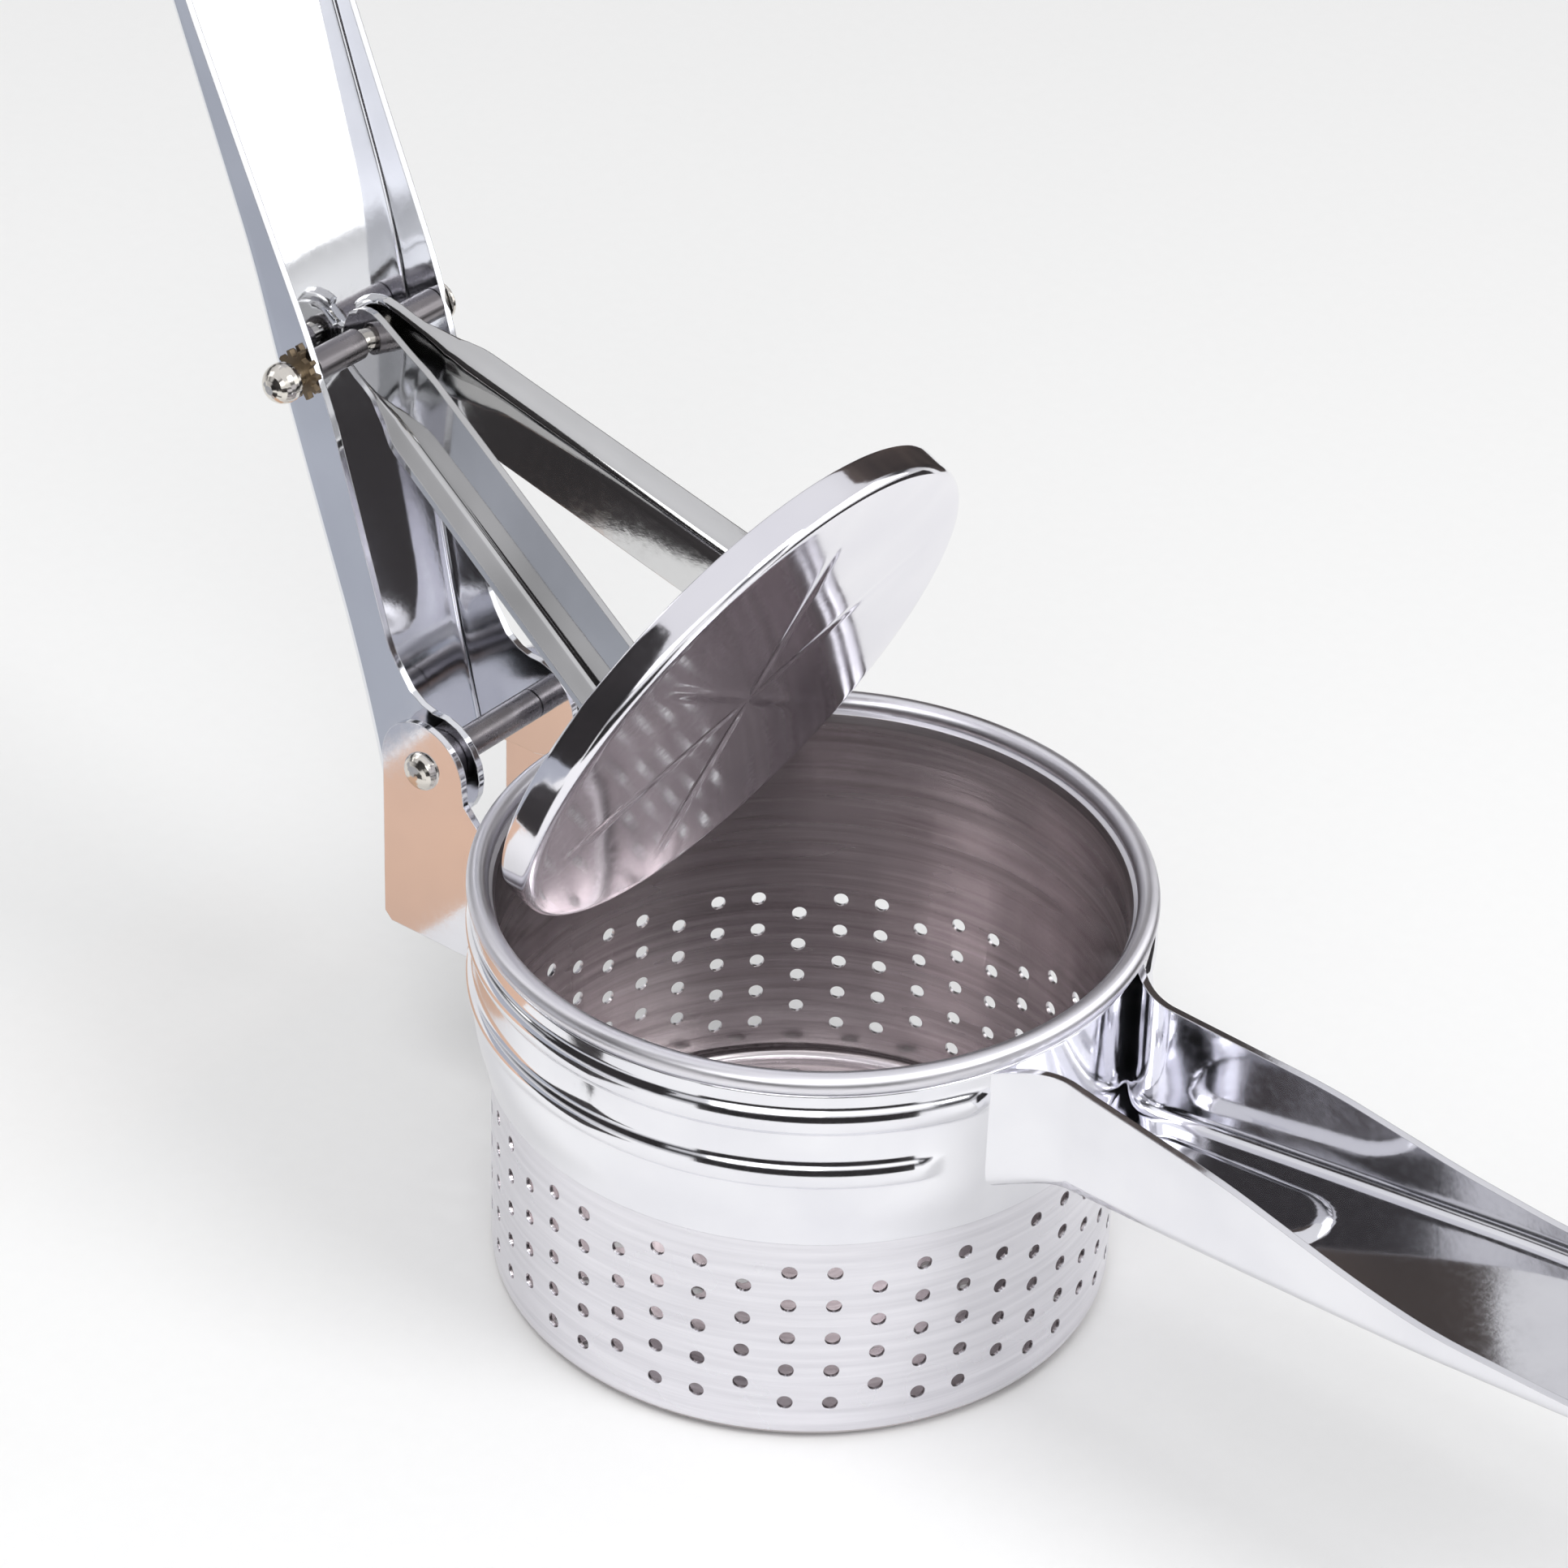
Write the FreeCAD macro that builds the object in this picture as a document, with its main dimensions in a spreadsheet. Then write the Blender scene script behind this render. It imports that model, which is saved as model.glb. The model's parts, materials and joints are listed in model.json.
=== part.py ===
import FreeCAD, Part
import math
import os
import re
import Sketcher

# Potato ricer, in millimetres. +Z is up, +X runs from the basket to the lower handle and +Y is the
# direction of both pins. The origin is the centre of the basket's flat underside.
# The ricer is drawn open: the lever leans back and the plunger hangs tilted in the basket's mouth.

doc = FreeCAD.newDocument("PotatoRicer")
sizes = doc.addObject("Spreadsheet::Sheet", "Sizes")

DIMENSIONS = {
    # basket
    "cup_radius": 40.9,
    "cup_wall": 0.5,
    "cup_floor": 0.6,
    "cup_corner": 2.4,
    "roll_ring": 42.6,
    "roll_wire": 1.45,
    "roll_height": 57.9,
    "hole_radius": 1.0,
    "hole_row": 5.2,
    "hole_first": 6.3,
    "hole_ring": 6.0,
    "hole_column": 8.0,
    # collar
    "collar_radius": 43.3,
    "collar_wall": 0.8,
    "collar_top": 56.4,
    "collar_shoulder": 39.5,
    "collar_foot_radius": 41.8,
    "collar_foot": 32.3,
    "bead_rise": 0.8,
    "bead_half": 1.9,
    "upper_bead": 52.4,
    "lower_bead": 44.2,
    "bead_gap": 27.0,
    # lower handle
    "sheet": 1.0,
    "root_x": 42.2,
    "root_half": 10.4,
    "root_top": 56.3,
    "root_bottom": 38.2,
    "tip_x": 160.0,
    "tip_half": 14.5,
    "tip_bottom": 48.9,
    "flange_low": 3.6,
    "oval_x": 64.0,
    "oval_half": 9.5,
    "oval_radius": 6.2,
    "oval_rise": 0.8,
    # hinge bracket and pin
    "hinge_x": -55.5,
    "hinge_z": 56.5,
    "ear_out": 12.7,
    "ear_radius": 7.0,
    "bracket_rear": -62.4,
    "bracket_bottom": 30.0,
    "bracket_seat": -42.6,
    "pin_radius": 1.5,
    "pin_play": 0.05,
    "head_radius": 2.7,
    "head_rise": 1.7,
    # lever
    "lean": 20.4,
    "reach": 55.9,
    "lever_length": 206.0,
    "lever_low": 9.9,
    "lever_mid": 12.7,
    "lever_half": 14.0,
    "lever_ear": 7.6,
    # plunger
    "tilt": 66.0,
    "stem": 69.7,
    "disc_radius": 38.0,
    "disc_height": 5.0,
    "disc_sheet": 0.8,
    "disc_edge": 1.4,
    "yoke_out": 2.8,
    "arm_out": 14.5,
    "arm_half": 5.0,
    "arm_bend": 10.0,
    "arm_rear": 3.9,
    "arm_lip": 2.6,
    "arm_foot": 7.0,
    # pivot hardware
    "cap_radius": 2.7,
    "cap_stand": 16.6,
    "pin_head": 2.6,
    "washer_radius": 3.4,
    "sleeve_wall": 0.6,
}

for row, (alias, number) in enumerate(DIMENSIONS.items(), start=1):
    sizes.set(f"A{row}", alias)
    sizes.set(f"B{row}", str(number))
    sizes.setAlias(f"B{row}", alias)
doc.recompute()


def bound(text):
    """The expression with every sheet name written as Sizes.name."""
    return re.sub(r"\b([a-z][a-z_0-9]*)\b(?!\()", r"Sizes.\1", text)


def number(text):
    """The present value of an expression in sheet names."""
    return float(sizes.evalExpression(bound(text)))


def bind(item, **expressions):
    for name, text in expressions.items():
        item.setExpression(name, bound(text))


def origin_plane(body, role):
    return next(f for f in body.Origin.OriginFeatures if f.Role == role)


def new_body(name):
    body = doc.addObject("PartDesign::Body", name)
    body.Label = name
    return body


def new_sketch(body, role, turn=None):
    """A sketch on one of the body's origin planes, turned about its own axis when asked."""
    sketch = body.newObject("Sketcher::SketchObject", body.Name + "_sketch")
    sketch.AttachmentSupport = (origin_plane(body, role), "")
    sketch.MapMode = "FlatFace"
    if turn:
        sketch.AttachmentOffset = turn
    return sketch


def pin_coordinate(sketch, kind, geometry, vertex, text):
    """Holds one coordinate of a sketch point, measured from the sketch's origin."""
    index = sketch.addConstraint(Sketcher.Constraint(kind, -1, 1, geometry, vertex, number(text)))
    sketch.setExpression(f"Constraints[{index}]", bound(text))


def outline(sketch, points):
    """A closed polygon whose corners are pairs of expressions."""
    corners = [FreeCAD.Vector(number(a), number(b), 0) for a, b in points]
    count = len(corners)
    lines = [Part.LineSegment(corners[i], corners[(i + 1) % count]) for i in range(count)]
    first = sketch.GeometryCount
    sketch.addGeometry(lines)
    for i in range(count):
        sketch.addConstraint(Sketcher.Constraint("Coincident", first + i, 2, first + (i + 1) % count, 1))
    for i, (a, b) in enumerate(points):
        pin_coordinate(sketch, "DistanceX", first + i, 1, a)
        pin_coordinate(sketch, "DistanceY", first + i, 1, b)
    return sketch


def circle(sketch, centre, radius):
    """A circle at a pair of expressions."""
    middle = FreeCAD.Vector(number(centre[0]), number(centre[1]), 0)
    index = sketch.addGeometry(Part.Circle(middle, FreeCAD.Vector(0, 0, 1), number(radius)))
    held = sketch.addConstraint(Sketcher.Constraint("Radius", index, number(radius)))
    sketch.setExpression(f"Constraints[{held}]", bound(radius))
    pin_coordinate(sketch, "DistanceX", index, 3, centre[0])
    pin_coordinate(sketch, "DistanceY", index, 3, centre[1])
    return sketch


def pad(body, sketch, length, both_ways=True):
    feature = body.newObject("PartDesign::Pad", body.Name + "_pad")
    feature.Profile = sketch
    feature.Midplane = both_ways
    bind(feature, Length=length)
    doc.recompute()
    return feature


def pocket(body, sketch, length, both_ways=True, reverse=False):
    """A cut that is checked to have taken something away."""
    before = body.Shape.Volume
    feature = body.newObject("PartDesign::Pocket", body.Name + "_pocket")
    feature.Profile = sketch
    feature.Midplane = both_ways
    feature.Reversed = reverse
    bind(feature, Length=length)
    doc.recompute()
    if body.Shape.Volume > before - 0.01:
        raise RuntimeError(f"{feature.Name} cuts nothing")
    return feature


def revolve(body, sketch, angle="360"):
    feature = body.newObject("PartDesign::Revolution", body.Name + "_turn")
    feature.Profile = sketch
    feature.ReferenceAxis = (sketch, ["V_Axis"])
    bind(feature, Angle=angle)
    doc.recompute()
    return feature


def repeat_round(body, features, count):
    """A polar pattern about the body's Z axis."""
    pattern = body.newObject("PartDesign::PolarPattern", body.Name + "_ring")
    pattern.Originals = features
    axis = next(f for f in body.Origin.OriginFeatures if f.Role == "Z_Axis")
    pattern.Axis = (axis, [""])
    pattern.Angle = 360
    pattern.Occurrences = count
    body.Tip = pattern
    doc.recompute()
    return pattern


def round_edges(body, wanted, radius):
    """Rounds every edge of the body's present shape that the test picks out."""
    base = body.Tip
    names = [f"Edge{i}" for i, edge in enumerate(base.Shape.Edges, start=1) if wanted(edge)]
    if not names:
        raise RuntimeError(f"no edges to round on {body.Name}")
    feature = body.newObject("PartDesign::Fillet", body.Name + "_round")
    feature.Base = (base, names)
    bind(feature, Radius=radius)
    doc.recompute()
    return feature


def boolean(kind, name, *parts):
    """A Part boolean of whole objects, such as Cut, Common or MultiFuse."""
    item = doc.addObject("Part::" + kind, name)
    item.Label = name
    if kind == "MultiFuse":
        item.Shapes = list(parts)
    else:
        item.Base, item.Tool = parts
    doc.recompute()
    return item


def cylinder(name, radius, length, centre, axis="y"):
    """A cylinder whose near end sits at the centre given, along +Y or +Z."""
    item = doc.addObject("Part::Cylinder", name)
    item.Label = name
    bind(item, Radius=radius, Height=length)
    spin = FreeCAD.Rotation(FreeCAD.Vector(1, 0, 0), -90) if axis == "y" else FreeCAD.Rotation()
    item.Placement = FreeCAD.Placement(FreeCAD.Vector(*[number(c) for c in centre]), spin)
    doc.recompute()
    return item


def tube(name, outer, inner, length, start):
    """A tube along +Y from a starting y, on the Y axis of its own frame."""
    body = cylinder(name + "_body", outer, length, ("0", start, "0"))
    bore = cylinder(name + "_bore", inner, length + " + 2", ("0", start + " - 1", "0"))
    return boolean("Cut", name, body, bore)


SIDE = FreeCAD.Vector(0, 1, 0)
HINGE = FreeCAD.Vector(number("hinge_x"), 0, number("hinge_z"))
LEVER_TURN = FreeCAD.Rotation(SIDE, -number("lean"))
LEVER = FreeCAD.Placement(HINGE, LEVER_TURN)
PIVOT = LEVER.multVec(FreeCAD.Vector(0, 0, number("reach")))
PLUNGER = FreeCAD.Placement(PIVOT, FreeCAD.Rotation(SIDE, -number("tilt")))
AT_HINGE = FreeCAD.Placement(HINGE, FreeCAD.Rotation())
AT_PIVOT = FreeCAD.Placement(PIVOT, LEVER_TURN)
HOME = FreeCAD.Placement()

subparts = []


def finish(item, place=HOME):
    """Puts a finished sub-part in its place and lists it for export."""
    item.Placement = place.multiply(item.Placement)
    subparts.append(item)


def sits_at(low=None, high=None, across=None):
    """A test for edges by the box that they lie in."""
    def test(edge):
        box = edge.BoundBox
        middle = edge.valueAt((edge.FirstParameter + edge.LastParameter) / 2)
        return all([
            low is None or box.ZMin > low,
            high is None or box.ZMax < high,
            across is None or across(middle, box),
        ])
    return test


# --- basket -----------------------------------------------------------------------------------

def perforated_basket():
    """A turned cup with a rolled rim, three kinds of hole column in its wall and rings in its floor."""
    body = new_body("perforated_basket")
    shell = outline(new_sketch(body, "XZ_Plane"), [
        ("0", "0"),
        ("cup_radius", "0"),
        ("cup_radius", "roll_height - 2.4"),
        ("roll_ring", "roll_height - roll_wire / 2"),
        ("roll_ring", "roll_height"),
        ("cup_radius - cup_wall + 0.3", "roll_height - 1.0"),
        ("cup_radius - cup_wall", "roll_height - 2.2"),
        ("cup_radius - cup_wall", "cup_floor"),
        ("0", "cup_floor"),
    ])
    revolve(body, shell)
    revolve(body, circle(new_sketch(body, "XZ_Plane"), ("roll_ring", "roll_height"), "roll_wire"))
    outer = sits_at(high=0.1, across=lambda middle, box: box.XMax > number("cup_radius") - 1)
    round_edges(body, outer, "cup_corner")
    floor = number("cup_floor")
    inner = sits_at(low=floor - 0.1, high=floor + 0.1, across=lambda middle, box: box.XMax > 30)
    round_edges(body, inner, "cup_corner - cup_wall")

    columns = []
    for column in range(3):
        turn = FreeCAD.Placement(FreeCAD.Vector(), FreeCAD.Rotation(SIDE, number("hole_column") * column))
        sketch = new_sketch(body, "XZ_Plane", turn)
        for row in range(4 if column == 2 else 5):
            lift = "hole_first + hole_row / 2" if column == 2 else "hole_first"
            circle(sketch, ("0", f"{lift} + {row} * hole_row"), "hole_radius")
        columns.append(pocket(body, sketch, "cup_radius + 4", both_ways=False))
    repeat_round(body, columns, 15)

    sector = new_sketch(body, "XY_Plane")
    for ring in range(1, 7):
        for step in range(ring):
            angle = 60.0 * step / ring
            circle(sector, (f"{ring} * hole_ring * cos({angle})", f"{ring} * hole_ring * sin({angle})"),
                   "hole_radius")
    floor_holes = pocket(body, sector, "4")
    repeat_round(body, [floor_holes], 6)
    finish(body)


# --- collar -----------------------------------------------------------------------------------

def collar_ring():
    """The polished band round the basket, with two pressed beads that stop short of the handle."""
    band = new_body("collar_band")
    revolve(band, outline(new_sketch(band, "XZ_Plane"), [
        ("collar_foot_radius - collar_wall", "collar_foot"),
        ("collar_foot_radius", "collar_foot"),
        ("collar_foot_radius + 0.25", "collar_foot + 1.6"),
        ("collar_radius - 0.3", "collar_shoulder - 2.2"),
        ("collar_radius", "collar_shoulder"),
        ("collar_radius", "collar_top"),
        ("collar_radius - collar_wall", "collar_top"),
        ("collar_radius - collar_wall", "collar_shoulder"),
        ("collar_radius - collar_wall - 0.3", "collar_shoulder - 2.2"),
        ("collar_foot_radius - collar_wall + 0.25", "collar_foot + 1.6"),
    ]))
    beads = []
    for name, height in (("upper", "upper_bead"), ("lower", "lower_bead")):
        bead = new_body(name + "_bead")
        shape = [("collar_radius - collar_wall / 2", f"{height} - bead_half")]
        for step in range(7):
            angle = 180 * step / 6 - 90
            shape.append((f"collar_radius + bead_rise * cos({angle})",
                          f"{height} + bead_half * sin({angle})"))
        shape.append(("collar_radius - collar_wall / 2", f"{height} + bead_half"))
        revolve(bead, outline(new_sketch(bead, "XZ_Plane"), shape), "360 - 2 * bead_gap")
        bead.Placement = FreeCAD.Placement(
            FreeCAD.Vector(), FreeCAD.Rotation(FreeCAD.Vector(0, 0, 1), number("bead_gap")))
        beads.append(bead)
    finish(boolean("MultiFuse", "collar_ring", band, *beads))


# --- pressed-sheet channels -------------------------------------------------------------------

def prism(name, role, points, length):
    body = new_body(name)
    pad(body, outline(new_sketch(body, role), points), length)
    return body


def lower_handle():
    """A channel open upward: deep where it meets the collar, low and wide at the rounded tip."""
    side = [
        ("root_x", "root_bottom"),
        ("tip_x", "tip_bottom"),
        ("tip_x", "tip_bottom + flange_low"),
        ("124", "tip_bottom - 0.4"),
        ("104", "tip_bottom - 0.5"),
        ("92", "tip_bottom + 0.9"),
        ("72", "root_top - 2.7"),
        ("root_x", "root_top"),
    ]
    hollow = [
        ("root_x - 4", "root_bottom + sheet - 0.36"),
        ("tip_x + 4", "tip_bottom + sheet + 0.36"),
        ("tip_x + 4", "root_top + 4"),
        ("root_x - 4", "root_top + 4"),
    ]

    def plan(inset, start):
        nose = []
        for step in range(9):
            angle = 180 * step / 8 - 90
            nose.append((f"tip_x - tip_half + (tip_half - {inset}) * cos({angle})",
                         f"(tip_half - {inset}) * sin({angle})"))
        far = [(start, f"root_half - {inset}"), ("70", f"root_half + 1.9 - {inset}"),
               ("100", f"root_half + 3.6 - {inset}")]
        near = [(a, f"-({b})") for a, b in far]
        return near + nose + far[::-1]

    outer = boolean("Common", "handle_outer",
                    prism("handle_side", "XZ_Plane", side, "40"),
                    prism("handle_plan", "XY_Plane", plan("0", "root_x"), "200"))
    inner = boolean("Common", "handle_inner",
                    prism("handle_hollow_side", "XZ_Plane", hollow, "40"),
                    prism("handle_hollow_plan", "XY_Plane", plan("sheet", "root_x - 4"), "200"))
    channel = boolean("Cut", "handle_channel", outer, inner)

    oval = new_body("handle_oval")
    slope = math.degrees(math.atan2(number("tip_bottom - root_bottom"), number("tip_x - root_x")))
    pad(oval, circle(new_sketch(oval, "XY_Plane"), ("-oval_half", "0"), "oval_radius"), "oval_rise + 0.5")
    pad(oval, circle(new_sketch(oval, "XY_Plane"), ("oval_half", "0"), "oval_radius"), "oval_rise + 0.5")
    pad(oval, outline(new_sketch(oval, "XY_Plane"), [
        ("-oval_half", "-oval_radius"),
        ("oval_half", "-oval_radius"),
        ("oval_half", "oval_radius"),
        ("-oval_half", "oval_radius"),
    ]), "oval_rise + 0.5")
    share = number("(oval_x - root_x) / (tip_x - root_x)")
    height = number("root_bottom + sheet") + share * number("tip_bottom - root_bottom")
    oval.Placement = FreeCAD.Placement(
        FreeCAD.Vector(number("oval_x"), 0, height), FreeCAD.Rotation(SIDE, -slope))
    pressed = boolean("MultiFuse", "handle_pressed", channel, oval)
    clear = cylinder("collar_clear", "collar_radius + 0.02", "60", ("0", "0", "10"), axis="z")
    finish(boolean("Cut", "lower_handle", pressed, clear))


def lever_channel():
    """The long upper handle: a channel that tapers towards the hinge and ends in two round ears."""
    def side(web, low):
        return [
            (f"-12.1 + {web}", f"-4.2 - {low}"),
            (f"-9.9 + {web}", "16"),
            (f"-4.25 + {web}", "70"),
            (f"-4.25 + {web}", f"lever_length + {low}"),
        ]

    edge = [
        ("-0.4", "lever_length"),
        ("-0.9", "105"),
        ("0.4", "84"),
        ("1.9", "62"),
        ("1.9", "50"),
        ("-0.8", "30"),
        ("-2.6", "16"),
        ("-0.8", "8"),
        ("5.4", "4"),
        ("4", "-5.4"),
        ("-4", "-6.2"),
    ]

    def front(inset, low):
        nose = []
        for step in range(9):
            angle = 180 * step / 8
            nose.append((f"(lever_half - {inset}) * cos({angle})",
                         f"lever_length - lever_half + (lever_half - {inset}) * sin({angle})"))
        right = [(f"lever_low - {inset}", f"-12 - {low}"), (f"lever_low - {inset}", "14"),
                 (f"lever_mid - {inset}", "56"), (f"lever_half - 0.5 - {inset}", "105")]
        left = [(f"-1 * ({a})", b) for a, b in reversed(right)]
        return right + nose + left

    block = prism("lever_side", "XZ_Plane", side("0", "0") + edge, "40")
    ears = new_body("lever_ears")
    pad(ears, circle(new_sketch(ears, "XZ_Plane"), ("0", "0"), "lever_ear"), "40")
    solid = boolean("MultiFuse", "lever_solid", block, ears)
    outer = boolean("Common", "lever_outer", solid,
                    prism("lever_front", "YZ_Plane", front("0", "0"), "80"))
    hollow = prism("lever_hollow_side", "XZ_Plane",
                   side("sheet", "12") + [("14", "lever_length + 12"), ("14", "-16.2")], "40")
    inner = boolean("Common", "lever_inner", hollow,
                    prism("lever_hollow_front", "YZ_Plane", front("sheet", "12"), "80"))
    channel = boolean("Cut", "lever_open", outer, inner)
    hinge_bore = cylinder("lever_hinge_bore", "pin_radius + pin_play", "40", ("0", "-20", "0"))
    pivot_bore = cylinder("lever_pivot_bore", "pin_radius", "40", ("0", "-20", "reach"))
    drilled = boolean("Cut", "lever_drilled", channel, hinge_bore)
    finish(boolean("Cut", "lever_channel", drilled, pivot_bore), LEVER)


# --- hinge ------------------------------------------------------------------------------------

def hinge_bracket():
    """A U-shaped strap on the back of the collar whose two ears carry the hinge pin."""
    side = [
        ("bracket_rear + 1.2", "bracket_bottom"),
        ("-38", "bracket_bottom + 0.4"),
        ("-38", "50.5"),
        ("-45.6", "51.2"),
        ("-48.2", "54"),
        ("hinge_x + ear_radius", "hinge_z"),
        ("hinge_x", "hinge_z + 2"),
        ("hinge_x - ear_radius + 0.1", "hinge_z"),
        ("bracket_rear", "bracket_bottom + 1.2"),
    ]
    plate = prism("bracket_side", "XZ_Plane", side, "2 * ear_out")
    top = new_body("bracket_top")
    pad(top, circle(new_sketch(top, "XZ_Plane"), ("hinge_x", "hinge_z"), "ear_radius"), "2 * ear_out")
    solid = boolean("MultiFuse", "bracket_solid", plate, top)
    gap = prism("bracket_gap", "XZ_Plane", [
        ("bracket_rear - 4", "bracket_bottom - 4"),
        ("bracket_seat - 2.4", "bracket_bottom - 4"),
        ("bracket_seat - 2.4", "hinge_z + 12"),
        ("bracket_rear - 4", "hinge_z + 12"),
    ], "2 * (ear_out - sheet)")
    strap = boolean("Cut", "bracket_strap", solid, gap)
    reach = "collar_radius + bead_rise + 0.02"
    clear = cylinder("bracket_collar_clear", reach, "60", ("0", "0", "10"), axis="z")
    strap = boolean("Cut", "bracket_fitted", strap, clear)
    bore = cylinder("bracket_bore", "pin_radius", "40", ("hinge_x", "-20", "hinge_z"))
    finish(boolean("Cut", "hinge_bracket", strap, bore))


def domed_rivet():
    """The hinge pin, headed over at both ears."""
    shaft = cylinder("rivet_shaft", "pin_radius", "2 * ear_out", ("0", "-ear_out", "0"))
    heads = []
    for side in (-1, 1):
        head = new_body("rivet_head_near" if side < 0 else "rivet_head_far")
        dome = [("0", "0")]
        for step in range(7):
            angle = 90 * step / 6
            dome.append((f"head_radius * cos({angle})", f"head_rise * sin({angle})"))
        revolve(head, outline(new_sketch(head, "XZ_Plane"), dome))
        head.Placement = FreeCAD.Placement(
            FreeCAD.Vector(0, side * number("ear_out"), 0),
            FreeCAD.Rotation(FreeCAD.Vector(1, 0, 0), -90 * side))
        heads.append(head)
    finish(boolean("MultiFuse", "hinge_rivet", shaft, *heads), AT_HINGE)


def hinge_hardware():
    """The sleeve that keeps the lever's ears apart and the rings between the ears and the bracket."""
    finish(tube("hinge_spacer_sleeve", "pin_radius + pin_play + sleeve_wall", "pin_radius + pin_play",
                "2 * (lever_low - sheet - 0.1)", "-(lever_low - sheet - 0.1)"), AT_HINGE)
    gap = "ear_out - sheet - lever_low"
    finish(tube("hinge_washer_near", "washer_radius + 0.6", "pin_radius + pin_play", f"{gap} - 0.2",
                "-(ear_out - sheet - 0.1)"), AT_HINGE)
    finish(tube("hinge_washer_far", "washer_radius + 0.6", "pin_radius + pin_play", f"{gap} - 0.2",
                "lever_low + 0.1"), AT_HINGE)


# --- plunger pivot ----------------------------------------------------------------------------

def pivot_hardware():
    """The cross pin through the lever: a low head on the far side, a cap and toothed washer on the near."""
    pin = new_body("pivot_pin")
    revolve(pin, outline(new_sketch(pin, "XY_Plane"), [
        ("0", "1.2 - cap_stand"),
        ("pin_radius", "1.2 - cap_stand"),
        ("pin_radius", "lever_mid + 0.05"),
        ("pin_head", "lever_mid + 0.05"),
        ("pin_head", "lever_mid + 0.45"),
        ("pin_head - 0.5", "lever_mid + 0.85"),
        ("0", "lever_mid + 0.95"),
    ]))
    finish(pin, AT_PIVOT)

    cap = new_body("pivot_cap")
    dome = [("0", "-cap_stand - 0.2"), ("pin_radius", "-cap_stand - 0.2")]
    dome += [("pin_radius", "1.2 - cap_stand"), ("cap_radius - 0.4", "1.2 - cap_stand")]
    for step in range(9):
        angle = 110 * step / 8 - 20
        dome.append((f"cap_radius * cos({angle})", f"-cap_stand - cap_radius * sin({angle})"))
    revolve(cap, outline(new_sketch(cap, "XY_Plane"), dome))
    finish(cap, AT_PIVOT)
    finish(toothed_washer(), AT_PIVOT)

    length = "lever_mid - sheet - 0.2 - yoke_out - 0.2"
    for word, start in (("near", "-(lever_mid - sheet - 0.2)"), ("far", "yoke_out + 0.2")):
        spacer = tube(f"pivot_spacer_{word}", "pin_radius + sleeve_wall", "pin_radius", length, start)
        finish(spacer, AT_PIVOT)


def toothed_washer():
    """A thin ring with short teeth bent round its edge."""
    teeth = 10
    body = new_body("pivot_lock_washer")
    shape = []
    for tooth in range(teeth):
        for part, reach in ((0, "washer_radius - 0.9"), (0.5, "washer_radius - 0.9"), (0.62, "washer_radius"),
                            (0.88, "washer_radius")):
            angle = 360 * (tooth + part) / teeth
            shape.append((f"({reach}) * cos({angle:.2f})", f"({reach}) * sin({angle:.2f})"))
    sketch = outline(new_sketch(body, "XZ_Plane"), shape)
    circle(sketch, ("0", "0"), "pin_radius")
    pad(body, sketch, "0.9")
    body.Placement = FreeCAD.Placement(FreeCAD.Vector(0, -number("lever_mid + 0.8"), 0), FreeCAD.Rotation())
    return body


# --- plunger ----------------------------------------------------------------------------------

def plunger_arm(word, turn):
    """A pressed strip: a round ear on the pin, a splayed blade with a lip along one edge, and a foot."""
    run = "stem - disc_sheet - 0.05"
    strip = prism(f"arm_strip_{word}", "YZ_Plane", [
        ("yoke_out - sheet", "arm_rear"),
        ("yoke_out", "arm_rear"),
        ("yoke_out", "-arm_bend"),
        ("arm_out", f"-({run}) + sheet"),
        ("arm_out + arm_foot", f"-({run}) + sheet"),
        ("arm_out + arm_foot", f"-({run})"),
        ("arm_out - sheet", f"-({run})"),
        ("yoke_out - sheet", "-arm_bend - 0.2"),
    ], "2 * arm_half")
    rear = number("arm_rear")
    corner = sits_at(low=rear - 0.1, across=lambda middle, box: box.XLength < 0.01 and box.YLength > 0.5)
    round_edges(strip, corner, "arm_half - 0.2")
    lip = prism(f"arm_lip_{word}", "YZ_Plane", [
        ("yoke_out - sheet / 2", "-arm_bend + 2"),
        ("yoke_out + 0.6", "-arm_bend + 1"),
        ("yoke_out + arm_lip", "-arm_bend - 5"),
        ("arm_out + arm_lip + 1.5", f"-({run}) + sheet / 2"),
        ("arm_out - sheet / 2", f"-({run}) + sheet / 2"),
        ("yoke_out - sheet / 2", "-arm_bend"),
    ], "0.9")
    lip.Placement = FreeCAD.Placement(FreeCAD.Vector(number("arm_half - 0.45"), 0, 0), FreeCAD.Rotation())
    formed = boolean("MultiFuse", f"arm_formed_{word}", strip, lip)
    bore = cylinder(f"arm_bore_{word}", "pin_radius + pin_play", "20", ("0", "-10", "0"))
    arm = boolean("Cut", f"plunger_arm_{word}", formed, bore)
    spin = FreeCAD.Rotation(FreeCAD.Vector(0, 0, 1), turn)
    finish(arm, PLUNGER.multiply(FreeCAD.Placement(FreeCAD.Vector(), spin)))


def plunger_arms():
    """One stamping used twice: the near arm is the far arm turned half round the plunger's axis."""
    plunger_arm("far", 0)
    plunger_arm("near", 180)


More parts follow.
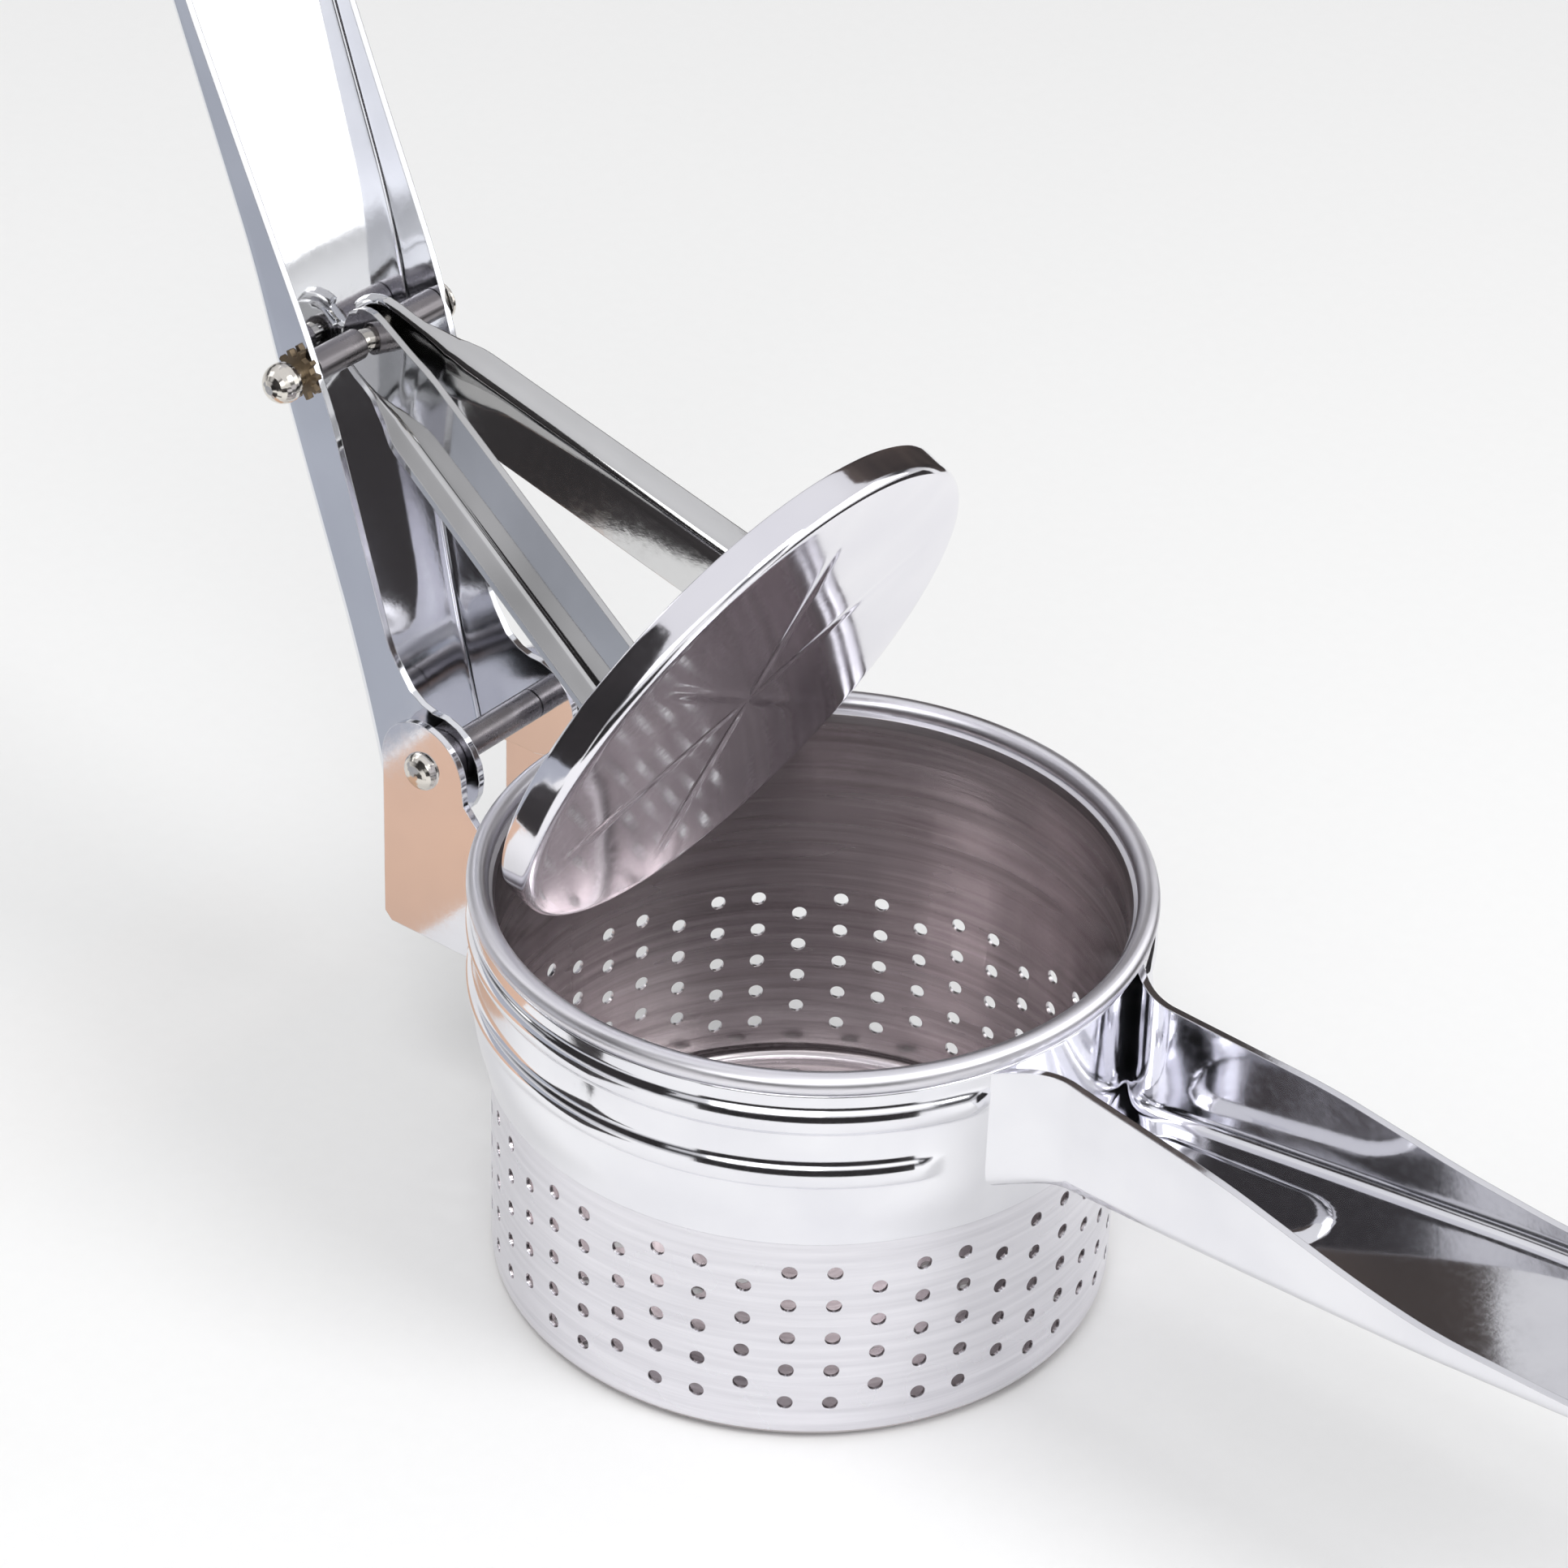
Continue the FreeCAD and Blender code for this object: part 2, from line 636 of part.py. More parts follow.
def plunger_disc():
    """A shallow pan, open towards the lever, that presses the food."""
    body = new_body("plunger_disc")
    revolve(body, outline(new_sketch(body, "XZ_Plane"), [
        ("0", "-stem"),
        ("disc_radius", "-stem"),
        ("disc_radius", "-stem + disc_height"),
        ("disc_radius - disc_sheet", "-stem + disc_height"),
        ("disc_radius - disc_sheet", "-stem + disc_sheet"),
        ("0", "-stem + disc_sheet"),
    ]))
    face = -number("stem")
    outer = sits_at(high=face + 0.1, across=lambda middle, box: box.XMax > 30)
    round_edges(body, outer, "disc_edge")
    floor = face + number("disc_sheet")
    inner = sits_at(low=floor - 0.1, high=floor + 0.1, across=lambda middle, box: box.XMax > 30)
    round_edges(body, inner, "disc_edge - disc_sheet + 0.2")
    finish(body, PLUNGER)


perforated_basket()
collar_ring()
lower_handle()
hinge_bracket()
domed_rivet()
hinge_hardware()
lever_channel()
pivot_hardware()
plunger_arms()
plunger_disc()
doc.recompute()

for item in doc.Objects:
    if "Invalid" in item.State or "Error" in item.State:
        raise RuntimeError(f"{item.Name} failed: {item.State}")

os.makedirs("parts", exist_ok=True)
for item in subparts:
    shape = item.Shape
    if shape.isNull() or not shape.isValid() or not shape.Solids:
        raise RuntimeError(f"{item.Label} has no valid solid")
    print(f"{item.Label}: {len(shape.Solids)} solid(s), {shape.Volume:.0f} mm3")
    shape.exportStep(f"parts/{item.Label}.step")
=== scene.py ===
import json
import math
import bpy
import bmesh
from mathutils import Matrix, Vector


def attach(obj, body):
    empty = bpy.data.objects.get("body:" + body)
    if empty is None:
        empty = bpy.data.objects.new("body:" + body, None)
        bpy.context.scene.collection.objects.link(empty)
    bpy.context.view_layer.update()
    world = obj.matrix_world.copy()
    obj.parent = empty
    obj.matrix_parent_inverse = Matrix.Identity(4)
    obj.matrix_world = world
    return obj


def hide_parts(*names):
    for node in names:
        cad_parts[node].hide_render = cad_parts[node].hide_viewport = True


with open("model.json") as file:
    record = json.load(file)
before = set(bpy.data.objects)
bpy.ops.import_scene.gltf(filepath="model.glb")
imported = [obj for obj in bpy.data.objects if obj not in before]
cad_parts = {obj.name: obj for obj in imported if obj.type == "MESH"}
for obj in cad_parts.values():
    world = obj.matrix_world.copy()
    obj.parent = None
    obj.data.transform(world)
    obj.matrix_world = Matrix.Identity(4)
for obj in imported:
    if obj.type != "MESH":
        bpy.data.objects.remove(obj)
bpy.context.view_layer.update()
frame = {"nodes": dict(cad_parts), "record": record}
nodes = frame["nodes"]
subparts = frame["record"]["subparts"]
bodies = frame["record"]["behaviour"]["bodies"]
scene = bpy.context.scene
MM = 0.001
AROUND = [1.5 * step for step in range(240)]
MIX_A, MIX_B, MIX_RESULT = 6, 7, 2


def clamp(value, low=0.0, high=1.0):
    return min(max(value, low), high)


# --- camera -------------------------------------------------------------------------------------

def aim_camera(azimuth, elevation, roll, distance, right_mm, up_mm, lens):
    """A camera turned about the basket: azimuth 0 looks along +Y, elevation is above the horizon.

    It aims at a point 40 mm above the origin, moved by right_mm and up_mm in the picture's plane.
    """
    a, e, tilt = (math.radians(v) for v in (azimuth, elevation, roll))
    back = Vector((math.sin(a) * math.cos(e), -math.cos(a) * math.cos(e), math.sin(e)))
    level = Vector((math.cos(a), math.sin(a), 0))
    upright = back.cross(level)
    right = math.cos(tilt) * level + math.sin(tilt) * upright
    up = -math.sin(tilt) * level + math.cos(tilt) * upright
    target = Vector((0, 0, 40 * MM)) + right_mm * MM * right + up_mm * MM * up
    data = bpy.data.cameras.new("camera")
    data.lens = lens
    data.sensor_width = 36
    data.clip_start = 0.01
    camera = bpy.data.objects.new("camera", data)
    turn = Matrix((right, up, back)).transposed()
    camera.matrix_world = Matrix.Translation(target + back * distance * MM) @ turn.to_4x4()
    scene.collection.objects.link(camera)
    scene.camera = camera


aim_camera(azimuth=37.94, elevation=33.68, roll=1.99, distance=679.06, right_mm=-3.22, up_mm=27.18,
           lens=121.1)


# --- node helpers -------------------------------------------------------------------------------

class Shader:
    """A small builder for one material's node tree."""

    def __init__(self, name):
        self.material = bpy.data.materials.new(name)
        self.material.use_nodes = True
        self.tree = self.material.node_tree
        self.surface = self.tree.nodes["Principled BSDF"]
        self.coordinates = self.add("ShaderNodeTexCoord").outputs["Object"]

    def add(self, kind, **settings):
        node = self.tree.nodes.new(kind)
        for key, value in settings.items():
            setattr(node, key, value)
        return node

    def feed(self, socket, value):
        if isinstance(value, bpy.types.NodeSocket):
            self.tree.links.new(value, socket)
        else:
            socket.default_value = value

    def math(self, operation, *values):
        node = self.add("ShaderNodeMath", operation=operation)
        for socket, value in zip(node.inputs, values):
            self.feed(socket, value)
        return node.outputs[0]

    def vector(self, x, y, z):
        node = self.add("ShaderNodeCombineXYZ")
        for socket, value in zip(node.inputs, (x, y, z)):
            self.feed(socket, value)
        return node.outputs[0]

    def parts(self):
        node = self.add("ShaderNodeSeparateXYZ")
        self.feed(node.inputs[0], self.coordinates)
        return node.outputs

    def noise(self, vector, scale, detail, rough=0.5):
        node = self.add("ShaderNodeTexNoise")
        self.feed(node.inputs["Vector"], vector)
        node.inputs["Scale"].default_value = scale
        node.inputs["Detail"].default_value = detail
        node.inputs["Roughness"].default_value = rough
        return node.outputs["Fac"]

    def ramp(self, value, low, high, start=0.0, end=1.0):
        node = self.add("ShaderNodeMapRange")
        for socket, item in zip(node.inputs, (value, low, high, start, end)):
            self.feed(socket, item)
        return node.outputs[0]

    def blend(self, share, first, second):
        node = self.add("ShaderNodeMix", data_type="RGBA")
        self.feed(node.inputs["Factor"], share)
        self.feed(node.inputs[MIX_A], first)
        self.feed(node.inputs[MIX_B], second)
        return node.outputs[MIX_RESULT]

    def relief(self, height, distance, strength, base=None):
        node = self.add("ShaderNodeBump")
        node.inputs["Distance"].default_value = distance
        node.inputs["Strength"].default_value = strength
        self.feed(node.inputs["Height"], height)
        if base:
            self.feed(node.inputs["Normal"], base)
        return node.outputs[0]

    def soft_edge(self, radius):
        node = self.add("ShaderNodeBevel", samples=4)
        node.inputs["Radius"].default_value = radius
        return node.outputs[0]

    def finish(self, **sockets):
        for name, value in sockets.items():
            self.feed(self.surface.inputs[name.replace("_", " ")], value)
        return self.material


def steel(name, bright, dull, roughness, spread, wave):
    """Polished sheet steel: faint haze, hairline scratches and a slow waviness in the reflection."""
    s = Shader(name)
    haze = s.noise(s.coordinates, 55.0, 3.0)
    hair = s.noise(s.coordinates, 900.0, 3.0, 0.6)
    slow = s.noise(s.coordinates, 38.0, 1.0)
    tone = s.blend(s.ramp(haze, 0.35, 0.7), bright, dull)
    rough = s.math("ADD", s.ramp(haze, 0.3, 0.7, roughness, roughness + spread),
                   s.ramp(hair, 0.45, 0.75, 0.0, spread))
    normal = s.soft_edge(0.2 * MM)
    normal = s.relief(slow, 0.8 * MM, wave, normal)
    normal = s.relief(hair, 0.01 * MM, 0.35, normal)
    return s.finish(Base_Color=tone, Metallic=1.0, Roughness=rough, Normal=normal)


def turned_steel(name):
    """The basket: fine rings left by turning in the wall and floor, a satin rim, and painted shade inside.
    """
    inner_wall, rim_from, rim_to = 40.7 * MM, 54.5 * MM, 56.5 * MM
    s = Shader(name)
    x, y, z = s.parts()
    angle = s.math("ARCTAN2", y, x)
    radius = s.math("SQRT", s.math("ADD", s.math("MULTIPLY", x, x), s.math("MULTIPLY", y, y)))

    def bands(along, across, detail, rough=0.5):
        """Noise drawn out round the axis: slow along the turn, fast across it."""
        place = s.vector(s.math("MULTIPLY", angle, along), s.math("MULTIPLY", radius, across),
                         s.math("MULTIPLY", z, across))
        return s.noise(place, 1.0, detail, rough)

    rings = bands(1.1, 900.0, 4.0, 0.65)
    broad = bands(0.6, 150.0, 2.0)
    cloud = s.noise(s.coordinates, 70.0, 3.0)
    inside = s.math("LESS_THAN", radius, inner_wall)
    streak = s.ramp(rings, 0.35, 0.68)
    outer = s.blend(streak, (0.82, 0.81, 0.85, 1), (0.70, 0.69, 0.73, 1))
    # Inside the wall the tones are darker and warmer: painted shade and a painted reflection of dark
    # surroundings, not the steel's own colour.
    inner = s.blend(streak, (0.62, 0.58, 0.59, 1), (0.42, 0.38, 0.39, 1))
    rough_in = s.ramp(broad, 0.35, 0.65, 0.16, 0.32)
    rough_out = s.ramp(cloud, 0.35, 0.65, 0.20, 0.30)
    rough = s.math("ADD", s.math("MULTIPLY", rough_in, inside),
                   s.math("MULTIPLY", rough_out, s.math("SUBTRACT", 1.0, inside)))
    rough = s.math("ADD", rough, s.ramp(z, rim_from, rim_to, 0.0, 0.14))
    normal = s.relief(rings, 0.03 * MM, 0.55, s.soft_edge(0.15 * MM))
    tangent = s.add("ShaderNodeTangent", direction_type="RADIAL", axis="Z")
    s.feed(s.surface.inputs["Tangent"], tangent.outputs[0])
    return s.finish(Base_Color=s.blend(inside, outer, inner), Metallic=1.0, Roughness=rough, Normal=normal,
                    Anisotropic=0.55)


# Each steel has a bright and a dull tone, a roughness, how far the roughness spreads, and a waviness.
MATERIALS = {
    "satin_steel": turned_steel("turned_steel"),
    "polished_steel": steel("collar_polish", (0.88, 0.88, 0.91, 1), (0.80, 0.80, 0.84, 1), 0.05, 0.05, 0.25),
    "handle_steel": steel("handle_polish", (0.84, 0.84, 0.87, 1), (0.76, 0.76, 0.80, 1), 0.06, 0.04, 0.3),
    "lever_steel": steel("lever_polish", (0.86, 0.87, 0.90, 1), (0.78, 0.79, 0.83, 1), 0.06, 0.03, 0.3),
    "arm_steel": steel("arm_polish", (0.66, 0.66, 0.66, 1), (0.54, 0.54, 0.54, 1), 0.05, 0.03, 0.3),
    "disc_steel": steel("disc_polish", (0.88, 0.87, 0.91, 1), (0.82, 0.81, 0.86, 1), 0.05, 0.05, 0.2),
    "rivet_steel": steel("rivet_polish", (0.80, 0.77, 0.72, 1), (0.68, 0.64, 0.58, 1), 0.08, 0.08, 0.1),
    "dark_steel": steel("dark_plain", (0.30, 0.28, 0.29, 1), (0.20, 0.19, 0.20, 1), 0.22, 0.12, 0.1),
    "bronzed_steel": steel("blackened", (0.26, 0.20, 0.13, 1), (0.12, 0.09, 0.06, 1), 0.30, 0.15, 0.1),
}


def dress(thing, slot):
    thing.data.materials.clear()
    thing.data.materials.append(MATERIALS[slot])


for entry in subparts:
    dress(nodes[entry["node"]], entry["material_slot"])


# --- pressed sheet ------------------------------------------------------------------------------

def straight(knots, at):
    """The value on straight lines between knots, held level beyond the last ones."""
    for (a, low), (b, high) in zip(knots, knots[1:]):
        if at <= b:
            break
    return low + (high - low) * clamp((at - a) / (b - a))


def soft(knots, at, reach=4.0):
    """The same lines with every corner rounded off over the reach."""
    return sum(straight(knots, at + reach * step / 3) for step in range(-3, 4)) / 7


def steps(start, end, count):
    return [start + (end - start) * i / count for i in range(count + 1)]


def sheet_piece(name, rows, node, place=Matrix(), thickness=1.0, outward=None, edge=0.25, ring=False):
    """A thin sheet in place of a CAD node, on its body. Its outside runs through rows of points in mm.

    outward says which way the face halfway along looks. A thickness of 0 takes the rows as a closed skin.
    """
    bm = bmesh.new()
    grid = [[bm.verts.new(place @ (Vector(point) * MM)) for point in row] for row in rows]
    if ring:
        grid.append(grid[0])
    faces = []
    for row, after in zip(grid, grid[1:]):
        for i in range(len(row) - 1):
            faces.append(bm.faces.new((row[i], row[i + 1], after[i + 1], after[i])))
    bm.normal_update()
    halfway = faces[len(faces) // 2 - len(grid[0]) // 2]
    if outward and halfway.normal.dot(place.to_3x3() @ Vector(outward)) < 0:
        bmesh.ops.reverse_faces(bm, faces=bm.faces)
    bmesh.ops.remove_doubles(bm, verts=bm.verts, dist=2e-6)
    if not thickness:
        bmesh.ops.recalc_face_normals(bm, faces=bm.faces)
    for face in bm.faces:
        face.smooth = True
    mesh = bpy.data.meshes.new(name)
    bm.to_mesh(mesh)
    bm.free()
    piece = bpy.data.objects.new(name, mesh)
    scene.collection.objects.link(piece)
    if thickness:
        wall = piece.modifiers.new("sheet", "SOLIDIFY")
        wall.thickness = thickness * MM
        wall.offset = -1
    if edge:
        rounding = piece.modifiers.new("edge", "BEVEL")
        rounding.width = edge * MM
        rounding.segments = 2
        rounding.limit_method = "ANGLE"
        rounding.angle_limit = math.radians(50)
    piece.modifiers.new("shading", "WEIGHTED_NORMAL")
    slot = next(entry["material_slot"] for entry in subparts if entry["node"] == node)
    body = next(body for body, members in bodies.items() if node in members)
    dress(piece, slot)
    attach(piece, body)
    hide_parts(node)


def channel_rows(stations, bend, across, nose, relief=None):
    """Rows over the outside of a channel, each from the near free edge round the web to the far one.

    A station is (web, edge, half, turn): web corner and free edge as (depth, along), the half-width as a
    function of along, and the outline's turn in degrees, which is 0 on the sides and 90 at the tip.
    """
    middle, radius = nose
    rows = []
    for web, edge, half, turn in stations:
        lean = Vector((edge[0] - web[0], edge[1] - web[1])).normalized()
        side = []
        for share in steps(0, 1, 6):
            low = (web[0] + lean[0] * bend, web[1] + lean[1] * bend)
            side.append((edge[0] + (low[0] - edge[0]) * share, edge[1] + (low[1] - edge[1]) * share, 0.0))
        for angle in (22.5, 45.0, 67.5, 90.0):
            up = bend * (1 - math.sin(math.radians(angle)))
            inset = bend * (1 - math.cos(math.radians(angle)))
            side.append((web[0] + lean[0] * up, web[1] + lean[1] * up, inset))
        t = math.radians(turn)
        placed = []
        for depth, along, inset in side:
            if turn:
                reach = radius - inset
                placed.append((depth, reach * math.cos(t), middle + reach * math.sin(t)))
            else:
                placed.append((depth, half(along) - inset, along))
        depth, reach, along = placed[-1]
        inner = [(depth, reach * share, along) for share in steps(-1, 1, across)[1:-1]]
        if relief:
            inner = [(d + relief(a, w), w, a) for d, w, a in inner]
        rows.append([(d, -w, a) for d, w, a in placed] + inner + placed[::-1])
    return rows


# --- lever --------------------------------------------------------------------------------------

# The hinge pin, the lever leaning back from it, the cross pin in the lever, and the plunger hung on that.
HINGE = Vector((-0.0555, 0, 0.0565))
LEVER = Matrix.Translation(HINGE) @ Matrix.Rotation(math.radians(-20.4), 4, "Y")
PIVOT = LEVER @ Vector((0, 0, 0.0559))
PLUNGER = Matrix.Translation(PIVOT) @ Matrix.Rotation(math.radians(-66), 4, "Y")


def lever():
    """The long upper handle: two round ears at the hinge, then a channel that ends in a round nose."""
    web_line = [(-4.2, -12.1), (16, -9.9), (70, -4.25), (206, -4.25)]
    edge_line = [(9.5, -0.8), (16, -2.6), (30, -0.8), (50, 1.9), (62, 1.9), (84, 0.4), (105, -0.9),
                 (206, -0.4)]
    half_line = [(-12, 9.9), (14, 9.9), (56, 12.7), (105, 13.5), (192, 14.0)]
    ear_radius, nose = 7.6, (192, 14.0)

    def half(along):
        return soft(half_line, along, 9.0)

    stations = []
    # the ear: how far along the web the line starts, and its angle on the round edge
    ear = [(-4.2, -122), (-3.2, -106), (-2.2, -90), (-1.2, -72), (-0.2, -55), (0.9, -37), (2.0, -20),
           (3.1, -2), (4.2, 15), (5.3, 29), (6.4, 41)]
    for along, angle in ear:
        a = math.radians(angle)
        round_edge = (ear_radius * math.cos(a), ear_radius * math.sin(a))
        stations.append(((straight(web_line, along), along), round_edge, half, 0))
    for low, edge in ((7.6, (4.1, 6.3)), (8.8, (2.2, 7.0)), (10.2, (0.5, 8.2)), (12, (-1.0, 10.2))):
        stations.append(((soft(web_line, low, 6), low), edge, half, 0))
    for along in steps(14, 106, 46) + steps(110, 192, 14):
        stations.append(((soft(web_line, along, 6), along), (soft(edge_line, along, 3), along), half, 0))
    for turn in steps(0, 90, 16)[1:]:
        stations.append(((-4.25, 0), (-0.4, 0), half, turn))
    rows = channel_rows(stations, 1.5, 18, nose)
    sheet_piece("lever_sheet", rows, "lever_channel", LEVER, outward=(-1, 0, 0))


# --- lower handle -------------------------------------------------------------------------------

def lower_handle():
    """The fixed handle, flared where it lands on the collar, with a long oval pressed up in its web."""
    web_line = [(42.2, 38.2), (160, 48.9)]
    edge_line = [(42.2, 56.2), (72, 53.6), (92, 49.8), (104, 48.4), (124, 48.5), (160, 52.5)]
    half_line = [(42.2, 10.4), (70, 12.3), (100, 14.0), (150, 14.5)]
    collar_radius, seat_half = 43.36, 15.9
    start, flare_end, flare_radius, flare_middle = 40.3, 47.8, 8.0, 18.8
    sink_end, sink = 41.5, 0.005
    seat_end = 52
    nose_middle, nose_radius = nose = (145.5, 14.5)

    def half(along):
        if along < flare_end:
            return flare_middle - math.sqrt(max(flare_radius ** 2 - (flare_end - along) ** 2, 0))
        return soft(half_line, along, 5.0)

    def oval(along, side):
        """How far the web is pressed up, with a soft step all round the oval."""
        middle, half_length, end_radius, step, rise = 64.0, 9.5, 6.2, 1.3, 0.8
        beyond = max(abs(along - middle) - half_length, 0.0)
        share = clamp((end_radius - math.hypot(beyond, side)) / step)
        return rise * share * share * (3 - 2 * share)

    def seated(depth, side, along):
        """The root bent to the collar's curve, with its last edge sunk just under the collar's face."""
        sag = math.sqrt(collar_radius ** 2 - min(abs(side), seat_half) ** 2) - start
        sunk = 1 - sink * clamp((sink_end - along) / (sink_end - start))
        return (along + sag * clamp((seat_end - along) / (seat_end - start))) * sunk, side * sunk, depth

    stations = []
    for along in steps(start, flare_end, 10) + steps(48.4, 84, 60) + steps(85.5, nose_middle, 30):
        stations.append(((straight(web_line, along), along), (soft(edge_line, along, 4), along), half, 0))
    for turn in steps(0, 90, 16)[1:]:
        along = nose_middle + nose_radius * math.sin(math.radians(turn))
        stations.append(((straight(web_line, along), 0), (soft(edge_line, along, 4), 0), half, turn))
    rows = [[seated(*point) for point in row] for row in channel_rows(stations, 2.6, 36, nose, oval)]
    sheet_piece("lower_handle_sheet", rows, "lower_handle", outward=(0, 0, -1))


# --- collar -------------------------------------------------------------------------------------

def collar():
    """The polished band, with two pressed beads that fade out before they reach the handle."""
    profile = [(32.3, 41.8), (34.0, 42.1), (37.3, 43.0), (39.5, 43.3), (56.4, 43.3)]
    beads = ((52.4, 22.0), (44.2, 30.0))  # height, and degrees from the handle at which it has faded out
    bead_half, bead_rise = 1.9, 0.8
    heights = steps(32.3, 40, 9) + steps(40.5, 42.2, 3) + steps(42.4, 46.0, 14) + steps(46.6, 50.2, 5)
    heights += steps(50.5, 54.3, 15) + steps(54.8, 56.4, 4)

    def radius(height, angle):
        base = soft(profile, height, 1.2)
        for middle, stop in beads:
            end = clamp((angle - stop) / 3.0)
            across = (height - middle) / bead_half
            rise = max(1 - across * across - (1 - end) ** 2, 0.0)
            base += bead_rise * rise ** 0.75
        return base

    rows = []
    for angle in AROUND:
        away = min(angle, 360 - angle)
        a = math.radians(angle)
        rows.append([(radius(z, away) * math.cos(a), radius(z, away) * math.sin(a), z) for z in heights])
    halfway = math.radians(1.5 * 119.5)
    sheet_piece("collar_band", rows, "collar_ring", thickness=0.8,
                outward=(math.cos(halfway), math.sin(halfway), 0), edge=0.2, ring=True)


# --- plunger ------------------------------------------------------------------------------------

def arm(word, side):
    """A pressed arm: a round ear, a blade that splays outward, a lip on one edge and a foot."""
    ear_radius, ear_out, ear_lean, blade_half, splay, foot = 4.9, 2.8, 0.135, 5.0, 0.2022, -67.85
    ear = (3.85, 3.7, 3.3, 2.6, 1.6, 0.4, -1.2, -3.0, -5.0, -7.0)
    path = [(ear_out - ear_lean * (z + 8), z) for z in ear]
    path += [(ear_out, -8.4), (2.88, -9.6), (3.02, -10.6), (3.2, -11.6)]
    path += [(ear_out + splay * (-10 - z), z) for z in steps(-12.6, -65.4, 36)]
    path += [(14.12, -66.2), (14.32, -66.9), (14.7, -67.45), (15.3, -67.78), (16.0, foot)]
    path += [(y, foot) for y in steps(16.8, 21.3, 5)]
    rows = []
    for i, (y, z) in enumerate(path):
        before, after = path[max(i - 1, 0)], path[min(i + 1, len(path) - 1)]
        run = Vector((after[0] - before[0], after[1] - before[1])).normalized()
        normal = Vector((-run[1], run[0]))
        crown = max((z + 0.9) / ear_radius, 0.0)
        half = blade_half if z < -10 else ear_radius * math.sqrt(max(1 - crown ** 2, 0.01))
        grown = clamp((-4.0 - z) / 9.0, 0.06)
        if y > 13.6:
            grown *= clamp((68.9 + z) / 2.2, 0.06)
        lip = (3.1 + 0.5 * min(-z / 66, 1)) * grown
        corner = 0.9 * grown
        points = [(x, 0.0) for x in steps(-half, half - corner, 6)]
        for angle in (30, 60, 90):
            t = math.radians(angle)
            points.append((half - corner + corner * math.sin(t), corner * (1 - math.cos(t))))
        points += [(half, corner + (lip - corner) * share) for share in (0.35, 0.7, 1.0)]
        rows.append([(x * side, (y + normal[0] * out) * side, z + normal[1] * out) for x, out in points])
    sheet_piece(f"plunger_arm_{word}_sheet", rows, f"plunger_arm_{word}", PLUNGER,
                outward=(0, side, 0.1), edge=0.22)


def disc():
    """The shallow pan that presses the food, with faint pressed rays in its polished face."""
    face, back, corner = -69.7, -68.9, 1.4
    profile = [(r, face) for r in steps(0, 36.4, 40)]
    for angle in steps(-75, 0, 5):
        a = math.radians(angle)
        profile.append((36.6 + corner * math.cos(a), -68.3 + corner * math.sin(a)))
    profile += [(38.0, z) for z in (-67.3, -66.2, -65.3)]
    profile += [(37.95, -64.85), (37.78, -64.7), (37.4, -64.7), (37.24, -64.85), (37.2, -65.3)]
    profile += [(37.2, z) for z in (-66.4, -67.6, -68.3)]
    profile += [(37.02, -68.68), (36.6, -68.88)] + [(r, back) for r in steps(35.8, 0, 12)]

    def ray(radius, angle):
        """How far the face is pressed in by the nearest of six rays, 60 degrees apart."""
        depth, half_width, end = 0.13, 1.1, 33.5
        across = abs((angle - 5 + 30) % 60 - 30)
        share = max(1 - math.radians(across) * radius / half_width, 0.0)
        return depth * share * clamp((end - radius) / 9) * min(radius / 5, 1)

    rows = []
    for angle in AROUND:
        a = math.radians(angle)
        rows.append([(r * math.cos(a), r * math.sin(a), z + (ray(r, angle) if z == face else 0.0))
                     for r, z in profile])
    sheet_piece("plunger_pan", rows, "plunger_disc", PLUNGER, thickness=0, edge=0, ring=True)


lever()
lower_handle()
collar()
arm("far", 1)
arm("near", -1)
disc()


# --- floor and light ----------------------------------------------------------------------------

def pale_floor():
    mesh = bpy.data.meshes.new("floor")
    reach = 3.0
    mesh.from_pydata([(-reach, -reach, 0), (reach, -reach, 0), (reach, reach, 0), (-reach, reach, 0)],
                     [], [(0, 1, 2, 3)])
    floor = bpy.data.objects.new("floor", mesh)
    scene.collection.objects.link(floor)
    s = Shader("floor_paper")
    grain = s.noise(s.coordinates, 400.0, 3.0)
    tone = s.blend(grain, (0.86, 0.86, 0.86, 1), (0.88, 0.88, 0.88, 1))
    s.finish(Base_Color=tone, Roughness=0.9, Normal=s.relief(grain, 0.2 * MM, 0.1))
    floor.data.materials.append(s.material)


def soft_box(name, place, target, size, watts, lights_floor=True, mirrored=True):
    data = bpy.data.lights.new(name, "AREA")
    data.shape = "RECTANGLE"
    data.size, data.size_y = size
    data.energy = watts
    lamp = bpy.data.objects.new(name, data)
    lamp.location = place
    lamp.rotation_euler = (Vector(target) - Vector(place)).to_track_quat("-Z", "Y").to_euler()
    lamp.visible_diffuse = lights_floor
    lamp.visible_glossy = mirrored
    scene.collection.objects.link(lamp)


def reflector(name, corners, tones):
    """A studio card beyond the picture: only the steel's reflections show it, and it casts no shadow."""
    mesh = bpy.data.meshes.new(name)
    mesh.from_pydata([[c * MM for c in corner] for corner in corners], [], [(0, 1, 2, 3)])
    card = bpy.data.objects.new(name, mesh)
    scene.collection.objects.link(card)
    s = Shader(name + "_card")
    cloud = s.noise(s.coordinates, 14.0, 2.0)
    s.finish(Base_Color=s.blend(s.ramp(cloud, 0.3, 0.7), *tones), Roughness=0.9)
    mesh.materials.append(s.material)
    card.visible_camera = False
    card.visible_diffuse = False
    card.visible_shadow = False


def standing_card(name, start, end, low, high, tones):
    """A standing card from start to end on the floor plan."""
    reflector(name, [(*start, low), (*end, low), (*end, high), (*start, high)], tones)


def lying_card(name, near, far, tones):
    """A card lying just above the floor between two opposite corners."""
    (x0, y0), (x1, y1) = near, far
    reflector(name, [(x0, y0, 1), (x1, y0, 1), (x1, y1, 1), (x0, y1, 1)], tones)


